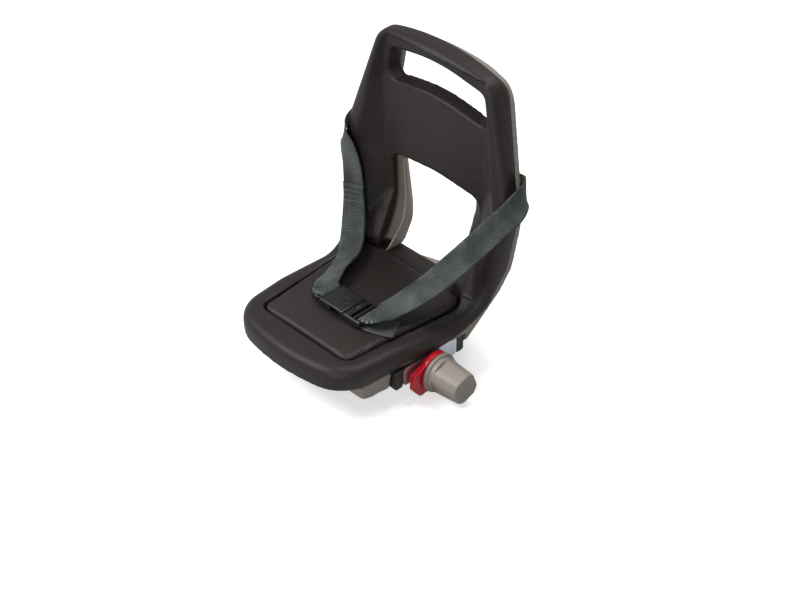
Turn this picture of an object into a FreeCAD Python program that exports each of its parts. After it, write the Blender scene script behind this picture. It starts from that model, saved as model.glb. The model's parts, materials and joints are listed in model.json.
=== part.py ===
# Rear child seat for a bicycle carrier: moulded shell, back frame, seat pad, lap belt and carrier clamp.
# Millimetres, +Z up, the child faces -Y, +X is the clamp knob's side.
# Origin: centre of the clamp, on the plane where the clamp channel lies on the carrier tubes.
import FreeCAD, Part
import math
import os
from FreeCAD import Placement, Rotation, Vector

doc = FreeCAD.newDocument("rear_child_seat")
sheet = doc.addObject("Spreadsheet::Sheet", "Sizes")
row = 0


def size(alias, number):
    """Add one driving size to the sheet and return it."""
    global row
    row += 1
    sheet.set("A%d" % row, alias)
    sheet.set("B%d" % row, str(number))
    sheet.setAlias("B%d" % row, alias)
    return number


# Moulded shell, taken along its side profile
pad_top = size("pad_top", 72)
rim_height = size("rim_height", 37)
front_edge = size("front_edge", 177)
front_bow = size("front_bow", 340)
front_corner = size("front_corner", 62)
shell_top = size("shell_top", 435)
top_arch = size("top_arch", 480)
top_corner = size("top_corner", 36)
top_roll = size("top_roll", 13)
rim_front_y = size("rim_front_y", 109)
rim_depth = size("rim_depth", 40)
recline = size("recline", 4.9)
belt_level = size("belt_level", 222)
bend_inner = size("bend_inner", 60)
bend_outer = size("bend_outer", 130)
kink_y = size("kink_y", 57)
rim_fall = size("rim_fall", 20)
half_width = size("half_width", 172)
hip_slope = size("hip_slope", 0.092)
wing_slope = size("wing_slope", 0.15)
shoulder_slope = size("shoulder_slope", 0.301)
wing_round = size("wing_round", 150)
rim_round = size("rim_round", 16)
panel_y = size("panel_y", 137.5)
seat_rear_y = size("seat_rear_y", 137)
seat_fall = size("seat_fall", 9)
dish_low = size("dish_low", 150)
# Flanks that thin the back towards its edges, given as run across for each millimetre of depth
edge_depth = size("edge_depth", 23.5)
flank_run = size("flank_run", 3.5)
flank_rise = size("flank_rise", 0.3)
hull_y = size("hull_y", 113)
hull_z = size("hull_z", 95)
# Openings in the backrest
window_low = size("window_low", 55)
window_high = size("window_high", 223)
window_low_half = size("window_low_half", 74)
window_high_half = size("window_high_half", 91)
window_corner = size("window_corner", 20)
window_crown = size("window_crown", 8)
crown_r = size("crown_r", 280)
slot_low = size("slot_low", 338)
slot_high = size("slot_high", 413)
slot_half = size("slot_half", 103)
slot_rear_low = size("slot_rear_low", 346)
slot_rear_half = size("slot_rear_half", 93)
slot_corner = size("slot_corner", 12)
slot_crown = size("slot_crown", 15)
slot_throat = size("slot_throat", 20.5)
# Seat pad
pad_front_y = size("pad_front_y", 129)
pad_rear_y = size("pad_rear_y", 95)
pad_front_half = size("pad_front_half", 90)
pad_rear_half = size("pad_rear_half", 108.5)
pad_corner = size("pad_corner", 16)
pad_thick = size("pad_thick", 14)
pad_gap = size("pad_gap", 1.2)
# Back frame
frame_gap = size("frame_gap", 0.3)
frame_depth = size("frame_depth", 27)
frame_band = size("frame_band", 10)
frame_wall = size("frame_wall", 3.5)
frame_inset = size("frame_inset", 1)
frame_lip = size("frame_lip", 4)
frame_top_fall = size("frame_top_fall", 35)
tub_floor = size("tub_floor", 6)
tub_front_y = size("tub_front_y", 128)
tub_bend = size("tub_bend", 80)
waist_half = size("waist_half", 59)
waist_z = size("waist_z", 108)

# Direction up the reclined back, and heights given by the pad
lean = math.tan(math.radians(recline))
rim_top = pad_top + 1
rim_low = rim_top - rim_height
FAR = 900


def back_line(y_at_belt, z):
    """Depth of a reclined back surface at one height."""
    return y_at_belt + lean * (z - belt_level + 4)


def outline(points):
    """Closed wire through corner points (u, v, radius), with tangent arcs at the corners."""
    edges, ends = [], []
    n = len(points)
    for i in range(n):
        a, p, b = (Vector(*points[(i + k) % n][:2], 0) for k in (-1, 0, 1))
        r = points[i][2]
        da, db = (a - p).normalize(), (b - p).normalize()
        if r <= 0:
            ends.append((p, None, p))
            continue
        half = da.getAngle(db) / 2
        reach = r / math.tan(half)
        centre = p + (da + db).normalize() * (r / math.sin(half))
        ends.append((p + da * reach, centre + (p - centre).normalize() * r, p + db * reach))
    for i in range(n):
        start, mid, stop = ends[i]
        if mid is not None:
            edges.append(Part.Arc(start, mid, stop).toShape())
        edges.append(Part.LineSegment(stop, ends[(i + 1) % n][0]).toShape())
    return edges


# Turn a sketch's own X, Y into the seat's axes
ON_SIDE = Rotation(Vector(0, 1, 0), Vector(0, 0, 1), Vector(1, 0, 0), "ZXY")
ON_FRONT = Rotation(Vector(1, 0, 0), Vector(0, 0, 1), Vector(0, -1, 0), "ZXY")
ON_TOP = Rotation()
ALONG_X, ALONG_Y = Vector(1, 0, 0), Vector(0, 1, 0)


def sketch(name, points, turn, offset=0.0):
    """Sketch of lines and tangent arcs on one of the seat's planes, moved along that plane's normal."""
    s = doc.addObject("Sketcher::SketchObject", name)
    for e in outline(points):
        c = e.Curve
        if isinstance(c, Part.Circle):
            s.addGeometry(Part.ArcOfCircle(c, e.FirstParameter, e.LastParameter), False)
        else:
            s.addGeometry(Part.LineSegment(e.Vertexes[0].Point, e.Vertexes[-1].Point), False)
    s.Placement = Placement(turn.multVec(Vector(0, 0, offset)), turn)
    return s


def bind(obj, prop, value):
    """Set a property to a number, or bind it to an expression on the sheet."""
    if isinstance(value, str):
        obj.setExpression(prop, value)
    else:
        setattr(obj, prop, value)


def extrude(name, profile, forward, back=0.0):
    """Extrusion of a sketch along its normal."""
    e = doc.addObject("Part::Extrusion", name)
    e.Base = profile
    e.DirMode = "Normal"
    e.Solid = True
    bind(e, "LengthFwd", forward)
    bind(e, "LengthRev", back)
    return e


def loft(name, *profiles):
    """Ruled solid between sketches with matching corners."""
    s = doc.addObject("Part::Loft", name)
    s.Sections = list(profiles)
    s.Solid = True
    s.Ruled = True
    return s


def cut(name, base, *tools):
    """Base less the tools, in one step."""
    c = doc.addObject("Part::Cut", name)
    c.Base = base
    if len(tools) == 1:
        c.Tool = tools[0]
    else:
        c.Tool = doc.addObject("Part::MultiFuse", name + "_tools")
        c.Tool.Shapes = list(tools)
    c.Refine = True
    return c


def common(name, *shapes):
    c = doc.addObject("Part::MultiCommon", name)
    c.Shapes = list(shapes)
    c.Refine = True
    return c


def fuse(name, *shapes):
    f = doc.addObject("Part::MultiFuse", name)
    f.Shapes = list(shapes)
    f.Refine = True
    return f


def box(name, length, width, height, x, y, z):
    b = doc.addObject("Part::Box", name)
    bind(b, "Length", length)
    bind(b, "Width", width)
    bind(b, "Height", height)
    b.Placement.Base = Vector(x, y, z)
    return b


def cylinder(name, radius, height, x, y, z, axis=Vector(0, 0, 1)):
    c = doc.addObject("Part::Cylinder", name)
    bind(c, "Radius", radius)
    bind(c, "Height", height)
    c.Placement = Placement(Vector(x, y, z), Rotation(Vector(0, 0, 1), axis))
    return c


def rounded(name, base, radius, choose):
    """Fillet on the edges that the choose function picks."""
    doc.recompute()
    f = doc.addObject("Part::Fillet", name)
    f.Base = base
    f.Edges = [(i + 1, radius, radius) for i, e in enumerate(base.Shape.Edges) if choose(base.Shape, e)]
    doc.recompute()
    return f


def middle(edge):
    return edge.valueAt((edge.FirstParameter + edge.LastParameter) / 2)


def along(edge):
    d = edge.Vertexes[-1].Point - edge.Vertexes[0].Point
    return d.normalize() if d.Length > 1e-6 else d


def side_plane(name, slope_y, slope_z, at_y, at_z, half, side):
    """Block outside an oblique side plane: half-width at one point, slopes along Y and Z."""
    n = Vector(1, -slope_y, -slope_z).normalize()
    b = doc.addObject("Part::Box", name)
    b.Length = b.Width = b.Height = FAR
    turn = Rotation(ALONG_X, n)
    b.Placement = Placement(Vector(half, at_y, at_z) + turn.multVec(Vector(0, -FAR / 2, -FAR / 2)), turn)
    if side < 0:
        m = doc.addObject("Part::Mirroring", name + "_left")
        m.Source, m.Normal = b, ALONG_X
        return m
    return b


def both_sides(name, *args):
    """A side plane and its mirror image."""
    return [side_plane(name + "_right", *args, 1), side_plane(name + "_mirror", *args, -1)]


def wing_half(y, z):
    """Half-width of the shell's lower wing plane at one point."""
    return half_width + hip_slope * (y - rim_front_y - 32) + wing_slope * (z - belt_level)


def arch_over(name, fall, roll, inset):
    """Arched top that falls towards the back by an angle, touching a roll of some radius at the rear edge."""
    angle = math.radians(fall)
    out, down = Vector(0, math.sin(angle), math.cos(angle)), Vector(0, math.cos(angle), -math.sin(angle))
    centre = Vector(0, back_line(rim_front_y + rim_depth, shell_top) - roll, shell_top - 2 * inset - roll)
    start = centre + out * (roll - top_arch) - down * (FAR / 2)
    return cylinder(name, "Sizes.top_arch", FAR, *start, down)


def l_body(name, profile, inset, top_fall=0.0):
    """Side profile swept across, trimmed to the shell's plan, wings, shoulders and arched top."""
    band = extrude(name + "_band", sketch(name + "_profile", profile, ON_SIDE), FAR / 4, FAR / 4)
    bow = cylinder(name + "_bow", "Sizes.front_bow", FAR, 0, front_bow - front_edge, -200)
    arch = arch_over(name + "_arch", top_fall, top_roll, inset)
    wings = both_sides(name + "_wing", hip_slope, wing_slope, rim_front_y + 32, belt_level, half_width - inset)
    shoulders = both_sides(name + "_shoulder", 0, -shoulder_slope, 0, belt_level, half_width + 2 - inset)
    return cut(name + "_sides", common(name + "_trim", band, bow, arch), *wings, *shoulders)


def crowned(name, body, behind):
    """Body thinned along its rear edges by a flank at the back and a hull plane at the bend."""
    flank = both_sides(name + "_flank", -flank_run, flank_rise, rim_front_y + edge_depth + behind, belt_level,
                       half_width)
    hull = both_sides(name + "_hull", -0.9 * flank_run, 0.43 * flank_run, hull_y + 0.9 * behind,
                      hull_z - 0.43 * behind, wing_half(hull_y, hull_z))
    return cut(name + "_crowned", body, *flank, *hull)


def across_front(shape, e):
    m = middle(e)
    return m.y < -90 and abs(m.x) > 80 and abs(along(e).z) > 0.7


def across_top(shape, e):
    m = middle(e)
    return m.z > shell_top - 60 and abs(m.x) > 70 and abs(along(e).y) > 0.7


def across_wing(shape, e):
    m = middle(e)
    return abs(m.z - belt_level) < 25 and abs(m.x) > half_width - 32 and abs(along(e).y) > 0.7


def is_profile_face(face):
    """Faces swept straight across the seat have no normal along X."""
    u0, u1, v0, v1 = face.ParameterRange
    return all(abs(face.normalAt(u0 + (u1 - u0) * s, v0 + (v1 - v0) * t).x) < 1e-6
               for s in (0.1, 0.5, 0.9) for t in (0.1, 0.5, 0.9))


def round_the_rim(shape, e):
    """Edge between the swept faces and the outline, on the child's side."""
    flat = [f for f in shape.ancestorsOfType(e, Part.Face) if is_profile_face(f)]
    if len(flat) != 1:
        return False
    n = flat[0].normalAt(*flat[0].Surface.parameter(middle(e)))
    return n.z - n.y > 0


# Moulded shell: band with a thick rim, trimmed, rounded, thinned behind, then dished and opened
bend_z = pad_top - rim_fall


def rim_profile(grow):
    """Side profile of the rim, grown outwards at the back and below."""
    rear, low, top = rim_front_y + rim_depth + grow, rim_low - grow, shell_top + 15
    return [(-front_edge - 9, rim_top, 0), (-kink_y, pad_top - 1, 200),
            (back_line(rim_front_y, bend_z), bend_z, bend_inner), (back_line(rim_front_y, top), top, 0),
            (back_line(rear, top), top, 0), (back_line(rear, low), low, bend_outer), (-front_edge - 9, low, 0)]


shell = l_body("shell", rim_profile(0), 0)
shell = rounded("shell_front_corners", shell, front_corner, across_front)
shell = rounded("shell_top_corners", shell, top_corner, across_top)
shell = rounded("shell_wings", shell, wing_round, across_wing)
shell = rounded("shell_rim", shell, rim_round, round_the_rim)
shell = crowned("shell", shell, 0)
for fall in (30, 60):
    shell = common("shell_top_%d" % fall, shell, arch_over("shell_over_%d" % fall, fall, top_roll, 0))

# Backrest dish: panel outline widening towards the child, so the rim stands proud as side bolsters
panel_half = size("panel_half", 98)
mouth_reach = size("mouth_reach", 13)
mouth_y = size("mouth_y", 87.5)


def mirrored(right_side, *crown):
    """Outline from its right-hand points, listed upwards, with any points on the centre line at the top."""
    return right_side + list(crown) + [(-x, z, r) for x, z, r in reversed(right_side)]


panel = sketch("panel_outline", mirrored([(panel_half - 6, dish_low, 0), (panel_half, belt_level, 0),
                                          (slot_half + 3, slot_low, 0), (panel_half - 1, slot_high + 6, 0)]),
               ON_FRONT, -panel_y)
mouth = sketch("dish_mouth", mirrored([(half_width - 44, dish_low - 75, 0), (half_width + mouth_reach, belt_level, 0),
                                       (half_width - 25, slot_low, 0), (half_width - 42, slot_high + 34, 0)]),
               ON_FRONT, -mouth_y)
dish = loft("dish", panel, mouth)

# Window between the legs of the backrest, open down to the seat
window = extrude("window", sketch("window_outline", mirrored([(window_low_half, window_low, 0),
                 (window_high_half, window_high - window_crown, window_corner)], (0, window_high, crown_r)),
                 ON_FRONT, -20), 0, 260)


# Handle slot: a funnel from the panel to a narrower opening at the back
def slot_points(half, low, high, taper):
    """Slot with parallel crowned edges, given by the heights of its lower corners and of its crown."""
    return [(-half, low, slot_corner), (0, low + slot_crown, crown_r), (half, low, slot_corner),
            (half - taper, high - slot_crown, slot_corner), (0, high, crown_r), (-half + taper, high - slot_crown, slot_corner)]


slot_rear_high = slot_high - 11
rear_slot = slot_points(slot_rear_half, slot_rear_low, slot_rear_high, 4)
slot = loft("slot", sketch("slot_mouth", slot_points(slot_half, slot_low, slot_high, 10), ON_FRONT, -panel_y + 1),
            sketch("slot_rear", rear_slot, ON_FRONT, -panel_y - slot_throat),
            sketch("slot_exit", rear_slot, ON_FRONT, -panel_y - 90))

# Raised seat platform that carries the pad and ends at the window
platform_front_half = size("platform_front_half", 103)
platform_half = size("platform_half", 120)
platform_rear_half = size("platform_rear_half", 112)
platform_low = rim_low + 6
platform_lip = pad_top - 18
platform_chin = size("platform_chin", 34)
platform_profile = [(-kink_y, platform_low, 0), (-kink_y, pad_top - 1.6, 0), (seat_rear_y, pad_top - 1 - seat_fall, 4),
                    (seat_rear_y, platform_lip, 2), (seat_rear_y - platform_chin, platform_low, 0)]
platform_plan = [(-platform_front_half, -kink_y - 5, 0), (platform_front_half, -kink_y - 5, 0),
                 (platform_half, pad_rear_y, 0), (platform_rear_half, seat_rear_y + 5, 0),
                 (-platform_rear_half, seat_rear_y + 5, 0), (-platform_half, pad_rear_y, 0)]
platform = common("platform_block",
                  extrude("platform_side", sketch("platform_profile", platform_profile, ON_SIDE), 200, 200),
                  extrude("platform_top", sketch("platform_plan", platform_plan, ON_TOP), 200))
platform = rounded("platform", platform, 6, lambda shape, e: middle(e).z > pad_top - 11
                   and abs(middle(e).x) > 100 and e.Length > 100)


# Space behind the pad, blended up into the legs of the backrest
def knee(name, points, x):
    return sketch(name, [(y, z, 0) for y, z in points], ON_SIDE, x)


knee_half = size("knee_half", 100)
leg_half = size("leg_half", 134)
knee_low = [(15, 56), (82, 56), (92, 78), (120, 122), (100, 160), (15, 160)]
knee_high = [(15, 86), (60, 86), (74, 102), (94, 137), (95, 160), (15, 160)]
knee_space = loft("knee_space", knee("knee_right_end", knee_high, leg_half), knee("knee_right", knee_low, knee_half),
                  knee("knee_left", knee_low, -knee_half), knee("knee_left_end", knee_high, -leg_half))


def pad_outline(name, grow, z):
    return sketch(name, [(-pad_front_half - grow, -pad_front_y - grow, pad_corner),
                         (pad_front_half + grow, -pad_front_y - grow, pad_corner),
                         (pad_rear_half + grow, pad_rear_y + grow, pad_corner + 4),
                         (-pad_rear_half - grow, pad_rear_y + grow, pad_corner + 4)], ON_TOP, z)


recess = extrude("pad_recess", pad_outline("recess_outline", pad_gap, pad_top - pad_thick - frame_gap), 90)
shell = cut("shell_open", shell, dish, window, knee_space)
shell = fuse("shell_seat", shell, platform)
shell = cut("shell_recessed", shell, slot, recess)

# Carrier clamp: its ends keep their distance from the shell's sides
rail_left = half_width - size("rail_left_tuck", 60)
rail_right = half_width - size("rail_right_tuck", 42)
axis_z = size("axis_z", 10)
rail_half = size("rail_half", 54)
rail_height = size("rail_height", 26)
sheet_metal = size("sheet_metal", 2.5)
lip = size("lip", 14)
spindle_r = size("spindle_r", 5)
run_fit = size("run_fit", 0.06)
press_fit = size("press_fit", 0.02)
jaw_inner = size("jaw_inner", 78)
jaw_thick = size("jaw_thick", 6)
jaw_half = size("jaw_half", 66)
jaw_drop = size("jaw_drop", 24)
jaw_hook = size("jaw_hook", 16)
hook_thick = size("hook_thick", 4)
block_wide = size("block_wide", 16)

# Back frame: hollow moulding behind and under the shell, its edge showing as a band beside the shell's
outer_y = rim_front_y + rim_depth + frame_depth
gap_y = rim_front_y + rim_depth + frame_gap
tuck = 14


def frame_profile(wall):
    """Side profile of the frame, or of the hollow inside its wall; its inner side lies within the shell."""
    front, floor, back, top = tub_front_y - wall, tub_floor + wall, outer_y - wall, shell_top + 15
    return [(-front, floor, 20 - wall), (back_line(back, floor), floor, tub_bend - wall), (back_line(back, top), top, 0),
            (back_line(rim_front_y + tuck, top), top, 0),
            (back_line(rim_front_y + tuck, rim_low + tuck), rim_low + tuck, bend_inner + tuck),
            (-front, rim_low + tuck, 0)]


def bilge(name, inside):
    """Planes that draw in the tub's lower corners under the bend."""
    at_y, at_z = hull_y - 25, hull_z - 47
    return both_sides(name + "_bilge", -0.85, 0.85, at_y, at_z, wing_half(at_y, at_z) - inside)


solid = l_body("frame", frame_profile(0), frame_inset, frame_top_fall)
solid = rounded("frame_top_corners", solid, top_corner - frame_inset, across_top)
solid = rounded("frame_wings", solid, wing_round - frame_inset, across_wing)
solid = common("frame_under_arch", solid, doc.getObject("shell_arch"))
solid = cut("frame_hull", crowned("frame", solid, frame_band + frame_gap), *bilge("frame", 0))
edge_wall = frame_wall + frame_lip
hollow = l_body("hollow", frame_profile(frame_wall), frame_inset + edge_wall, frame_top_fall)
hollow = cut("hollow_hull", crowned("hollow", hollow, frame_band + frame_gap - frame_wall), *bilge("hollow", edge_wall))
shell_space = crowned("space", l_body("space", rim_profile(frame_gap), -frame_gap), frame_gap)


# The frame's own window has a waist and flares open towards the back
def frame_window(name, grow):
    def section(y, flare):
        wide = grow + flare
        return sketch("%s_at_%d" % (name, y),
                      mirrored([(waist_half + 4 + wide, window_low - grow, 0), (waist_half + wide, waist_z, 60),
                                (window_high_half - 14 + wide, window_high - window_crown - 2 + grow, window_corner)],
                               (0, window_high - 2 + grow, crown_r)), ON_FRONT, -y)
    return loft(name, section(90, 0), section(151, 0), section(230, 44))


def frame_slot(name, grow):
    points = slot_points(slot_rear_half + 7 + grow, slot_rear_low - 28 - grow, slot_rear_high + grow, 4)
    return extrude(name, sketch(name + "_outline", points, ON_FRONT, -60), 0, 260)


tunnel_room = 1
tunnel_left = -rail_left - 6
tunnel_high = rail_height + frame_gap
tunnel = box("tunnel", FAR / 2, 2 * (rail_half + tunnel_room), tunnel_high + 30, tunnel_left, -rail_half - tunnel_room, -30)
tunnel_wall = box("tunnel_wall", FAR / 2, 2 * (rail_half + tunnel_room + frame_wall), tunnel_high + 35,
                  tunnel_left - frame_wall, -rail_half - tunnel_room - frame_wall, -30)
# Screw bosses: four from the back, four from the tub floor
back_screws = [(s * x, z) for s in (1, -1) for x, z in ((112, 190), (66, 285))]
floor_screws = [(s * x, y) for s in (1, -1) for x, y in ((84, -95), (94, 78))]
boss_r = size("boss_r", 7.5)
screw_r = size("screw_r", 2.5)
screw_head_r = size("screw_head_r", 5)
screw_head = size("screw_head", 3.5)
screw_bite = size("screw_bite", 12)
screw_wall = size("screw_wall", 5)
bosses = []
for i, (x, z) in enumerate(back_screws):
    bosses.append(cylinder("back_boss%d" % i, "Sizes.boss_r", 60, x, back_line(gap_y, z) - 1, z, ALONG_Y))
for i, (x, y) in enumerate(floor_screws):
    bosses.append(cylinder("floor_boss%d" % i, "Sizes.boss_r", 60, x, y, 0))
inside = cut("frame_inside", hollow, frame_window("window_wall", frame_wall), frame_slot("slot_wall", frame_wall),
             tunnel_wall, *bosses)
under_seat = extrude("under_seat", sketch("under_seat_profile", [(-kink_y, pad_top, 0), (seat_rear_y + 0.5, pad_top - seat_fall, 0),
                     (seat_rear_y + 0.5, platform_lip - 0.5, 4), (seat_rear_y - platform_chin, platform_low - 0.5, 0),
                     (-kink_y, platform_low - 0.5, 0)], ON_SIDE), platform_half + 2, platform_half + 2)
notch_half = rail_half + block_wide + 1
plate_notch = box("plate_notch", FAR / 2, 2 * notch_half, rail_height + 41, rail_right - 19, -notch_half, -30)
frame = cut("frame_open", solid, shell_space, inside, frame_window("frame_window", 0), frame_slot("frame_slot", 0),
            tunnel, plate_notch, under_seat)

# Screws from the frame into the shell, in counterbored holes
pilots = [(Vector(x, back_line(gap_y, z), z), ALONG_Y, screw_wall) for x, z in back_screws]
pilots += [(Vector(x, y, rim_low), Vector(0, 0, -1), 2 * screw_wall) for x, y in floor_screws]
bores, counters, screws = [], [], []
for i, (seam, out, wall) in enumerate(pilots):
    start, seat = seam - out * screw_bite, seam + out * wall
    bores.append(cylinder("screw_bore%d" % i, "Sizes.screw_r + 0.1", screw_bite + 60, *start, out))
    counters.append(cylinder("screw_counter%d" % i, "Sizes.screw_head_r + 0.5", 60, *seat, out))
    shank = cylinder("screw_shank%d" % i, "Sizes.screw_r", screw_bite + wall, *(start + out * 0.4), out)
    head = cylinder("screw_head%d" % i, "Sizes.screw_head_r", "Sizes.screw_head", *seat, out)
    drive = box("screw_drive%d" % i, 1.6, 1.6, 7, 0, 0, 0)
    drive.Placement = Placement(seat + out * (screw_head - 2), Rotation(Vector(0, 0, 1), out))
    drive.Placement.Base = drive.Placement.multVec(Vector(-0.8, -0.8, 0))
    screws.append(cut("screw%d" % i, fuse("screw_blank%d" % i, shank, head), drive))
shell = cut("seat_shell", shell, *bores)

# Clamp bolts into the tunnel roof, and the belt bracket's screws into the back
bolt_r = size("bolt_r", 3)
bolt_head_r = size("bolt_head_r", 5.5)
bolt_head = size("bolt_head", 4)
bolt_bite = size("bolt_bite", 7)
foot_low = size("foot_low", 21)
bolt_spots = [(x, y) for x in (14 - rail_left, rail_right - 24) for y in (-30, 30)]
bracket_z = size("bracket_z", 250)
bracket_half = size("bracket_half", 30)
bracket_foot = size("bracket_foot", 28)
bracket_thick = size("bracket_thick", 6)
bracket_hole_r = size("bracket_hole_r", 2.1)
bracket_tilt = Rotation(ALONG_X, -recline)
bracket_at = Vector(0, back_line(outer_y, bracket_z), bracket_z)
bracket_axis = bracket_tilt.multVec(ALONG_Y)
bolt_holes = [cylinder("bolt_hole%d" % i, "Sizes.bolt_r + 0.1", 40, x, y, rail_height + bolt_bite - 40)
              for i, (x, y) in enumerate(bolt_spots)]
bracket_spots = [bracket_tilt.multVec(Vector(0, 0, s * (bracket_foot - 3.5))) + bracket_at for s in (1, -1)]
bracket_bores = [cylinder("bracket_bore%d" % i, "Sizes.bracket_hole_r", 23, *(p - bracket_axis * 3), bracket_axis)
                 for i, p in enumerate(bracket_spots)]
frame = cut("back_frame", frame, *bores, *counters, *bolt_holes, *bracket_bores)
shell_screws = doc.addObject("Part::Compound", "shell_screws")
shell_screws.Links = screws

# Seat pad, plain here
pad_block = extrude("pad_block", pad_outline("pad_plan", 0, pad_top - pad_thick), "Sizes.pad_thick")
seat_pad = rounded("seat_pad", pad_block, 4, lambda shape, e: abs(middle(e).z - pad_top) < 0.01)


def shaft(name, radius, x0, x1):
    """Cylinder on the clamp axis between two stations along X."""
    return cylinder(name, radius, x1 - x0, x0, 0, axis_z, ALONG_X)


def ring(name, outer, inner, x0, x1):
    """Collar on the clamp axis between two stations along X."""
    return cut(name, shaft(name + "_outer", outer, x0, x1), shaft(name + "_hole", inner, x0 - 1, x1 + 1))


# Clamp rail: folded channel with lips, its end plates carry the spindle
w, h, t = rail_half, rail_height, sheet_metal
bush_r = size("bush_r", 11)
section = [(-w, 0, 3), (-w + lip, 0, 0), (-w + lip, t, 0), (-w + t, t, 0.8), (-w + t, h - t, 0.8), (w - t, h - t, 0.8),
           (w - t, t, 0.8), (w - lip, t, 0), (w - lip, 0, 0), (w, 0, 3), (w, h, 3), (-w, h, 3)]
channel_end = rail_right - 18
channel = extrude("channel", sketch("channel_section", section, ON_SIDE, -rail_left), rail_left + channel_end)
shelf = box("rail_shelf", rail_right - channel_end + 1, 2 * w - 8, "Sizes.sheet_metal", channel_end - 1, -w + 4, h - t)
plate = box("rail_plate", "Sizes.sheet_metal", "2 * Sizes.rail_half", h + 4.5, rail_right - t, -w, 5)
plate = rounded("rail_plate_round", plate, 6, lambda shape, e: abs(along(e).x) > 0.9)
lobe = shaft("rail_lobe", 17, rail_right - t, rail_right)
far_plate = box("far_plate", "Sizes.sheet_metal", 2 * w - 2 * t, h - t + 0.5, -rail_left, -w + t, 0)
far_lobe = shaft("far_lobe", 13, -rail_left, -rail_left + t)
bush_hole = shaft("bush_hole", "Sizes.bush_r + 0.05", rail_right - 10, rail_right + 5)
far_hole = shaft("far_hole", "Sizes.spindle_r + Sizes.run_fit", -rail_left - 5, -rail_left + 8)
rail_blank = fuse("rail_blank", channel, shelf, plate, lobe, far_plate, far_lobe)
clamp_rail = cut("clamp_rail", rail_blank, bush_hole, far_hole, *bolt_holes)

# Lock ring, knob and their places along the spindle
lock_r = size("lock_r", 30.5)
lock_thick = size("lock_thick", 9)
lock_x = rail_right + 4.5
lock_end = lock_x + lock_thick
knob_x = lock_end + 2
knob_flange_r = size("knob_flange_r", 31)
knob_flange = size("knob_flange", 6)
knob_long = size("knob_long", 57)
knob_base_r = size("knob_base_r", 28)
knob_tip_r = size("knob_tip_r", 23.5)
spindle_end = knob_x + knob_long - 14.5

# Spindle with its bush, collar and end clip
spindle_bar = shaft("spindle_bar", "Sizes.spindle_r", -rail_left - 5, spindle_end)
spindle = doc.addObject("Part::Chamfer", "spindle")
spindle.Base = spindle_bar
doc.recompute()
spindle.Edges = [(i + 1, 1, 1) for i, e in enumerate(spindle_bar.Shape.Edges) if e.Closed]
bush_start, bush_flange_end = rail_right - 5.5, rail_right - t - 0.1
running = "Sizes.spindle_r + Sizes.run_fit"
pressed = "Sizes.spindle_r + Sizes.press_fit"
bush_tube = ring("bush_tube", "Sizes.bush_r", running, bush_start, knob_x - 0.5)
bush_flange = ring("bush_flange", "Sizes.bush_r + 2", running, bush_start, bush_flange_end)
spindle_bush = fuse("spindle_bush", bush_tube, bush_flange)
spindle_collar = ring("spindle_collar", 10, pressed, rail_right - 14, bush_start - 0.3)
spindle_clip = ring("spindle_clip", 8, pressed, -rail_left - 3, -rail_left - 0.3)


# Jaws: plates that run in the rail and hook under the carrier tubes
def jaw(name, inner, side):
    x0 = inner if side > 0 else inner - jaw_thick
    upper = box(name + "_upper", "Sizes.jaw_thick", 2 * (w - t) - 0.6, h - 2 * t - 0.6, x0, -w + t + 0.3, t + 0.3)
    neck = box(name + "_neck", "Sizes.jaw_thick", 2 * (w - lip) - 1, t + 2, x0, -w + lip + 0.5, -1)
    lower = box(name + "_lower", "Sizes.jaw_thick", "2 * Sizes.jaw_half", jaw_drop - 0.6, x0, -jaw_half, -jaw_drop)
    hook = box(name + "_hook", "Sizes.jaw_hook + 1", "2 * Sizes.jaw_half", "Sizes.hook_thick",
               inner - jaw_hook if side > 0 else inner - 1, -jaw_half, -jaw_drop)
    return [upper, neck, lower, hook]


nut_r = size("nut_r", 9)
nut_long = size("nut_long", 22)
jaw_hole = "Sizes.spindle_r + 0.6"
block = box("jaw_block", nut_long + 10, 30, h - 2 * t - 0.6, jaw_inner - 10, -15, t + 0.3)
moving_blank = fuse("moving_blank", *jaw("moving", jaw_inner, 1), block)
moving_jaw = cut("sliding_jaw", moving_blank,
                 shaft("nut_seat", "Sizes.nut_r + Sizes.press_fit", jaw_inner - 4, jaw_inner + nut_long + 8),
                 shaft("jaw_hole", jaw_hole, jaw_inner - 20, jaw_inner + nut_long + 8))
jaw_nut = ring("jaw_nut", "Sizes.nut_r", running, jaw_inner - 3.9, jaw_inner + nut_long)
foot_left = 4 - rail_left
foot = box("fixed_foot", 2 - jaw_inner - jaw_thick - foot_left, 80, h - t - 0.1 - foot_low, foot_left, -40, foot_low)
fixed_blank = fuse("fixed_blank", *jaw("fixed", -jaw_inner, -1), foot)
fixed_jaw = cut("fixed_jaw", fixed_blank, shaft("fixed_hole", jaw_hole, -jaw_inner - 20, -jaw_inner + 20), *bolt_holes)
bolts = []
for i, (x, y) in enumerate(bolt_spots):
    z = foot_low if x < 0 else rail_height - sheet_metal
    shank = cylinder("bolt_shank%d" % i, "Sizes.bolt_r", rail_height + bolt_bite - 0.5 - z, x, y, z)
    head = cylinder("bolt_head%d" % i, "Sizes.bolt_head_r", "Sizes.bolt_head", x, y, z - bolt_head)
    key = doc.addObject("Part::Prism", "bolt_key%d" % i)
    key.Polygon, key.Circumradius, key.Height = 6, 2.9, 2.5
    key.Placement.Base = Vector(x, y, z - bolt_head - 0.01)
    bolts.append(cut("bolt%d" % i, fuse("bolt_blank%d" % i, shank, head), key))
clamp_bolts = doc.addObject("Part::Compound", "clamp_bolts")
clamp_bolts.Links = bolts

# Black end blocks beside the end plate
end_blocks = []
for name, y0 in (("rail_block_front", -w - block_wide), ("rail_block_rear", w + 0.3)):
    raw = box(name + "_raw", 17, block_wide - 0.3, 32, channel_end, y0, 4)
    end_blocks.append(rounded(name, raw, 4, lambda shape, e: abs(along(e).x) > 0.9 and middle(e).z < 10))

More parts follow.
